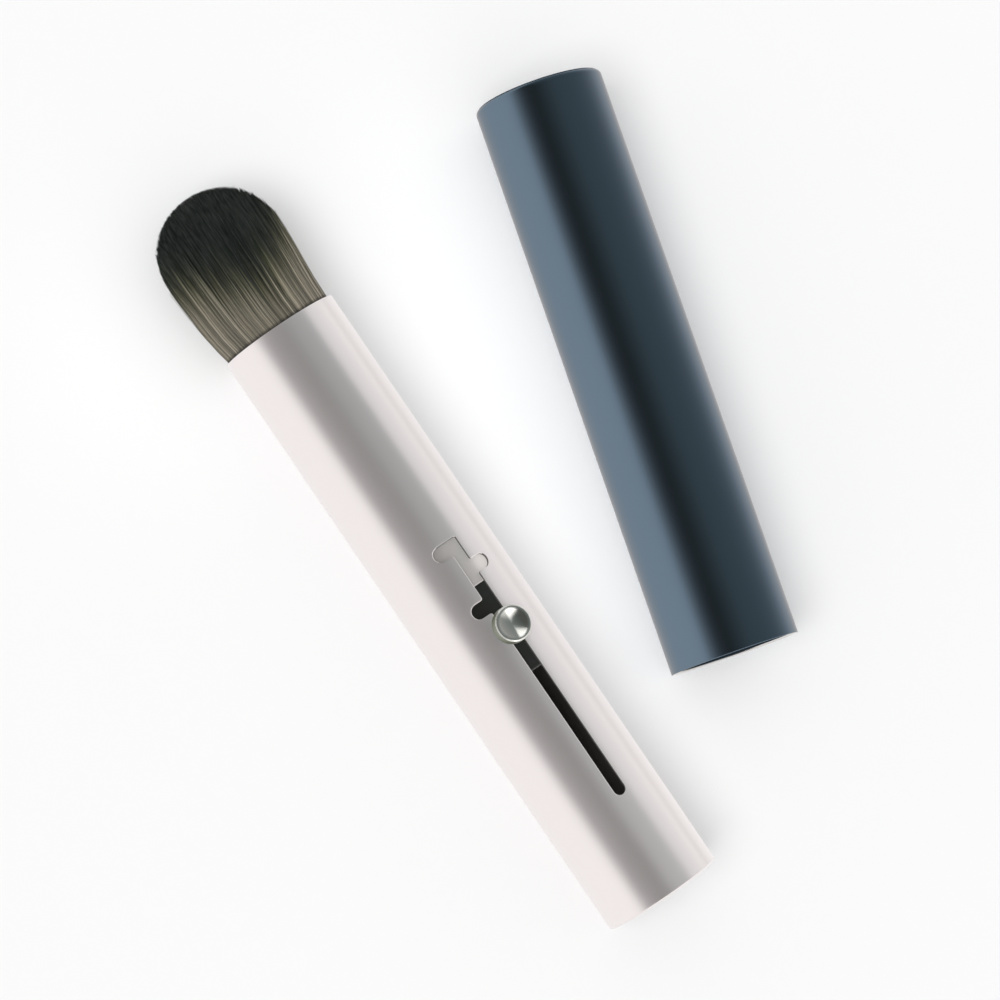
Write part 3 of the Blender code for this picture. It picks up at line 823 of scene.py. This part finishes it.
# Cap: a deep-drawn aluminium cup with a soft corner at its closed end, bead blasted and dyed navy when
# it was anodised. Its mouth is trimmed afterwards, which leaves the inner edge bare. A thin dark line of
# painted shade runs round its closed end.
cap_low, cap_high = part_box("cap_shell")
CAP_RADIUS = (cap_high.z - cap_low.z) / 2
CAP_WALL = 0.5 * MM
CAP_BORE = CAP_RADIUS - CAP_WALL
CAP_TURN = math.radians(15.6)
CAP_END = 0.8 * MM
CAP_CORNER = 1.0 * MM
CAP_INNER_CORNER = 0.5 * MM
CAP_EDGE = 0.12 * MM
CAP_INNER_EDGE = 0.34 * MM
CAP_LINE = 0.26 * MM
CAP_LENGTH = 96.85 * MM
cap_middle = (cap_low + cap_high) / 2
cap_direction = Vector((math.sin(CAP_TURN), math.cos(CAP_TURN), 0))
cap_mouth = cap_middle - cap_direction * CAP_LENGTH / 2
cap_place = Matrix.Translation(cap_mouth) @ Matrix.Rotation(-CAP_TURN, 4, "Z")

# Navy anodised over the same blasting as the handle: a satin slate blue where it faces the light and nearly
# black where it doesn't. Inside, and on a thin line round the closed end, it is dull and dark: painted shade.
navy, tree, shader = new_finish("navy_anodised_aluminium", "#6b7c8b", 0.29, 1.0)
shader.inputs["Specular Tint"].default_value = to_linear("#f2eae4")
grain_skin(tree, shader, BEAD, BEAD_DENT, BEAD_DRIFT)
navy_painted_shade, tree, shader = new_finish("navy_anodised_painted_shade", "#27333d", 0.6)
shader.inputs["Specular IOR Level"].default_value = 0.0
grain_skin(tree, shader, BEAD, BEAD_DENT, BEAD_DRIFT)


def in_cap_bore(face):
    """Whether a face lies inside the cap."""
    return off_axis(face) < CAP_BORE + CAP_EDGE and CAP_INNER_EDGE < face.center.y < CAP_LENGTH - CAP_END / 2


def on_painted_end_shade(face):
    """Whether a face is the last of the rounded corner round the closed end, where a line of shade is
    painted.
    """
    return off_axis(face) > CAP_RADIUS - CAP_CORNER and face.center.y > CAP_LENGTH - CAP_LINE


def on_bare_edge(face):
    """Whether a face is on the mouth's inner edge."""
    return off_axis(face) < CAP_BORE + CAP_INNER_EDGE and face.center.y < CAP_INNER_EDGE


cap_outline = from_axis(
    [
        (CAP_RADIUS, CAP_LENGTH, CAP_CORNER),
        (CAP_RADIUS, 0, CAP_EDGE),
        (CAP_BORE, 0, CAP_INNER_EDGE),
        (CAP_BORE, CAP_LENGTH - CAP_END, CAP_INNER_CORNER),
    ]
)
cap_shape = turned(cap_outline, TUBE_SIDES, closed=False)
cap = fit_piece("cap_shell", cap_shape, navy, cap_place, "cap")
even_shading(cap)
# The cap's inside takes the dark finish, as painted shade.
finish_faces(cap, navy_painted_shade, in_cap_bore)
# A thin line round the closed end takes the same dark finish, as painted shade.
finish_faces(cap, navy_painted_shade, on_painted_end_shade)
finish_faces(cap, plug_aluminium, on_bare_edge)


# Stop ring: grey ABS, moulded and pressed into the cap's closed end, so that the handle's mouth meets it
# before the cap reaches the knob.
STOP_LENGTH = 9.4 * MM
STOP_WALL = 1.3 * MM
STOP_CHAMFER = 0.4 * MM
STOP_RADIUS = CAP_BORE - PART_GAP
STOP_END = CAP_LENGTH - CAP_END - PART_GAP

# Moulded ABS: a plain dark grey with the fine matt grain of its mould.
grey_abs, tree, shader = new_finish("grey_moulded_abs", "#46464a", 0.5)
grain_skin(tree, shader, grain=0.15 * MM, depth=0.006 * MM, drift=0.05)

stop_outline = rounded(
    [
        (STOP_RADIUS - STOP_WALL, STOP_END - STOP_LENGTH, STOP_CHAMFER),
        (STOP_RADIUS, STOP_END - STOP_LENGTH, STOP_CHAMFER),
        (STOP_RADIUS, STOP_END, STOP_CHAMFER),
        (STOP_RADIUS - STOP_WALL, STOP_END, STOP_CHAMFER),
    ]
)
stop_shape = turned(stop_outline, TUBE_SIDES)
stop_ring = fit_piece("cap_stop_ring", stop_shape, grey_abs, cap_place, "cap")
even_shading(stop_ring)


# Table: a sheet of matt white card under both pieces. It glows a little wherever it is seen, straight or in
# polish, so that it stays near white there while it keeps the shadows. Its glow lights nothing.
TABLE_SIZE = 4.0
CARD_GLOW = 0.135
CARD_FIBRE = 0.5 * MM
CARD_TOOTH = 0.01 * MM

# Uncoated card: flat white with the faint tooth of its fibres.
card, tree, shader = new_finish("white_card", "#e7e7e7", 0.9)
fibres = add_node(
    tree,
    "ShaderNodeTexNoise",
    {"Vector": add_node(tree, "ShaderNodeTexCoord").outputs["Object"], "Scale": 1 / CARD_FIBRE},
)
tooth = add_node(tree, "ShaderNodeBump", {"Height": fibres.outputs["Fac"], "Distance": CARD_TOOTH})
tree.links.new(tooth.outputs["Normal"], shader.inputs["Normal"])
rays = add_node(tree, "ShaderNodeLightPath")
seen = add_node(
    tree,
    "ShaderNodeMath",
    {0: rays.outputs["Is Camera Ray"], 1: rays.outputs["Is Glossy Ray"]},
    operation="ADD",
)
seen_or_through = add_node(
    tree,
    "ShaderNodeMath",
    {0: seen.outputs["Value"], 1: rays.outputs["Is Transmission Ray"]},
    operation="ADD",
    use_clamp=True,
)
glow = add_node(
    tree, "ShaderNodeMath", {0: seen_or_through.outputs["Value"], 1: CARD_GLOW}, operation="MULTIPLY"
)
shader.inputs["Emission Color"].default_value = (1.0, 1.0, 1.0, 1.0)
tree.links.new(glow.outputs["Value"], shader.inputs["Emission Strength"])

sheet = bmesh.new()
bmesh.ops.create_grid(sheet, x_segments=1, y_segments=1, size=TABLE_SIZE / 2)
table_mesh = bpy.data.meshes.new("table")
sheet.to_mesh(table_mesh)
sheet.free()
table_mesh.materials.append(card)
table = bpy.data.objects.new("table", table_mesh)
bpy.context.scene.collection.objects.link(table)
table.visible_glossy = False


# Light: an even white dome and a soft key from the handle's side light the table and all that is matt. What
# is glossy mirrors a white tent with a dark ceiling, which gives both tubes their dark band, and a white bank
# beyond the handle's base. The tent's angles run from straight up towards the cap's side.
DOME_RADIANCE = 0.68
BACKDROP_RADIANCE = 0.95
KEY_LEAN = math.radians(-28.0)
KEY_SPREAD = math.radians(30.0)
KEY_STRENGTH = 1.32
TENT_STOPS = (
    (-180, (1.0, 1.0, 1.0)),
    (-64, (1.0, 1.0, 1.0)),
    (-52, (0.36, 0.36, 0.36)),
    (-40, (0.1, 0.1, 0.1)),
    (-24, (0.04, 0.035, 0.03)),
    (-10, (0.075, 0.085, 0.08)),
    (20, (0.19, 0.215, 0.215)),
    (45, (0.2, 0.23, 0.23)),
    (75, (0.3, 0.31, 0.31)),
    (92, (0.5, 0.5, 0.5)),
    (115, (1.0, 1.0, 1.0)),
    (140, (1.06, 1.06, 1.06)),
    (180, (1.0, 1.0, 1.0)),
)
BANK_FROM = -0.5
BANK_TO = -0.72
BANK_RADIANCE = (1.0, 1.0, 1.0, 1.0)

studio = bpy.data.worlds.new("studio")
studio.use_nodes = True
bpy.context.scene.world = studio
tree = studio.node_tree
towards = add_node(tree, "ShaderNodeTexCoord").outputs["Generated"]
way = add_node(tree, "ShaderNodeSeparateXYZ", {"Vector": towards})
lean = add_node(
    tree, "ShaderNodeMath", {0: way.outputs["X"], 1: way.outputs["Z"]}, operation="ARCTAN2"
).outputs["Value"]
lean_share = add_node(
    tree, "ShaderNodeMapRange", {"Value": lean, "From Min": -math.pi, "From Max": math.pi}
).outputs["Result"]
tent = add_node(tree, "ShaderNodeValToRGB", {"Fac": lean_share})
while len(tent.color_ramp.elements) < len(TENT_STOPS):
    tent.color_ramp.elements.new(0.5)
for stop, (degrees, radiance) in zip(tent.color_ramp.elements, TENT_STOPS):
    stop.position = (degrees + 180) / 360
    stop.color = (*radiance, 1.0)
bank_share = add_node(
    tree,
    "ShaderNodeMapRange",
    {"Value": way.outputs["Y"], "From Min": BANK_FROM, "From Max": BANK_TO},
    interpolation_type="SMOOTHSTEP",
).outputs["Result"]
banked = add_node(
    tree, "ShaderNodeMixRGB", {"Fac": bank_share, "Color1": tent.outputs["Color"], "Color2": BANK_RADIANCE}
).outputs["Color"]
dome = (DOME_RADIANCE, DOME_RADIANCE, DOME_RADIANCE, 1.0)
rays = add_node(tree, "ShaderNodeLightPath")
mirrored = rays.outputs["Is Glossy Ray"]
in_view = rays.outputs["Is Camera Ray"]
lit = add_node(tree, "ShaderNodeMixRGB", {"Fac": mirrored, "Color1": dome, "Color2": banked}).outputs["Color"]
backdrop = (BACKDROP_RADIANCE, BACKDROP_RADIANCE, BACKDROP_RADIANCE, 1.0)
radiance = add_node(tree, "ShaderNodeMixRGB", {"Fac": in_view, "Color1": lit, "Color2": backdrop})
tree.links.new(radiance.outputs["Color"], tree.nodes["Background"].inputs["Color"])

key_light = bpy.data.lights.new("key", "SUN")
key_light.energy = KEY_STRENGTH
key_light.angle = KEY_SPREAD
key = bpy.data.objects.new("key", key_light)
key.rotation_euler = (0, KEY_LEAN, 0)
key.visible_glossy = False
bpy.context.scene.collection.objects.link(key)


# Panels: small lights, each kept to a few pieces. A softbox low on the cap's side and a pale card overhead
# light the handle and its slider, two cards beyond the handle's ends make the fans on the knob's dish, and
# three fills without a shadow lift the table in the shade of the cap, of its mouth and of the tuft.
SOFTBOX_SIZE = (1.2, 0.62)
SOFTBOX_PLACE = Vector((0.61, 0.0, 0.22))
SOFTBOX_RADIANCE = 0.5
BASE_CARD_SIZE = (0.5, 0.5)
BASE_CARD_PLACE = Vector((0.243, -0.28, 0.6))
BASE_CARD_LEAN = math.radians(22.0)
BASE_CARD_RADIANCE = 0.17
KNOB_CARD_SIZE = (0.45, 0.45)
KNOB_CARDS = (("upper_card", Vector((0.15, 0.5, 0.35))), ("lower_card", Vector((0.05, -0.5, 0.35))))
KNOB_CARD_RADIANCE = 1.3
# Each fill's name, size, the place that it hangs over, how far from there, its turn and its radiance.
FILLS = (
    ("cap_fill", (12 * MM, 100 * MM), cap_middle, Vector((-17, 4, 14)) * MM, -CAP_TURN, 0.85),
    ("cap_mouth_fill", (14 * MM, 10 * MM), cap_mouth, Vector((-3, -5, 10)) * MM, 0, 0.3),
    ("tuft_fill", (28 * MM, 26 * MM), handle_place.translation, Vector((-11, 10, 12)) * MM, 0, 0.42),
)


def hang_panel(name, size, place, radiance, lit_pieces):
    """A panel of even radiance that lights one collection of pieces alone, and isn't seen itself."""
    light = bpy.data.lights.new(name, "AREA")
    light.shape = "RECTANGLE"
    light.size, light.size_y = size
    light.energy = radiance * math.pi * size[0] * size[1]
    panel = bpy.data.objects.new(name, light)
    panel.matrix_world = place
    panel.visible_camera = False
    panel.light_linking.receiver_collection = lit_pieces
    bpy.context.scene.collection.objects.link(panel)
    return panel


def facing_middle(place):
    """Turns what stands at a place to face the middle of the table."""
    return Matrix.Translation(place) @ place.to_track_quat("Z", "Y").to_matrix().to_4x4()


def gathered(name, pieces):
    """A collection of the pieces that one kind of panel lights."""
    group = bpy.data.collections.new(name)
    for piece in pieces:
        group.objects.link(piece)
    return group


meshes = [piece for piece in bpy.context.scene.objects if piece.type == "MESH"]
handle_group = gathered(
    "lit_by_softbox", [piece for piece in meshes if piece not in (knob, cap, stop_ring, table)]
)
hang_panel("softbox", SOFTBOX_SIZE, facing_middle(SOFTBOX_PLACE), SOFTBOX_RADIANCE, handle_group)
overhead = Matrix.Translation(BASE_CARD_PLACE) @ Matrix.Rotation(BASE_CARD_LEAN, 4, "Y")
hang_panel("base_card", BASE_CARD_SIZE, overhead, BASE_CARD_RADIANCE, handle_group)

knob_group = gathered("lit_by_knob_cards", [knob])
for card_name, card_place in KNOB_CARDS:
    hang_panel(card_name, KNOB_CARD_SIZE, facing_middle(card_place), KNOB_CARD_RADIANCE, knob_group)

table_group = gathered("lit_by_fills", [table])
for fill_name, fill_size, fill_over, fill_offset, fill_turn, fill_radiance in FILLS:
    fill_place = Matrix.Translation(fill_over + fill_offset) @ Matrix.Rotation(fill_turn, 4, "Z")
    fill = hang_panel(fill_name, fill_size, fill_place, fill_radiance, table_group)
    fill.data.use_shadow = False
    fill.visible_glossy = False


# Camera: above the table and to the left, turned about its own view so that the handle lies across the
# picture. The picture's upright leans from the handle's axis towards the cap.
CAMERA_PLACE = Vector((-178.1, -13.9, 633.6)) * MM
CAMERA_AIM = Vector((-12.0, -0.5, 0.0)) * MM
PICTURE_TURN = math.radians(35.05)
LENS_MM = 145.49

back = (CAMERA_PLACE - CAMERA_AIM).normalized()
right = Vector((math.sin(PICTURE_TURN), math.cos(PICTURE_TURN), 0)).cross(back).normalized()
camera_data = bpy.data.cameras.new("camera")
camera_data.lens = LENS_MM
camera = bpy.data.objects.new("camera", camera_data)
camera_turn = Matrix((right, back.cross(right), back)).transposed()
camera.matrix_world = Matrix.Translation(CAMERA_PLACE) @ camera_turn.to_4x4()
bpy.context.scene.collection.objects.link(camera)
bpy.context.scene.camera = camera
bpy.context.scene.view_settings.view_transform = "Standard"
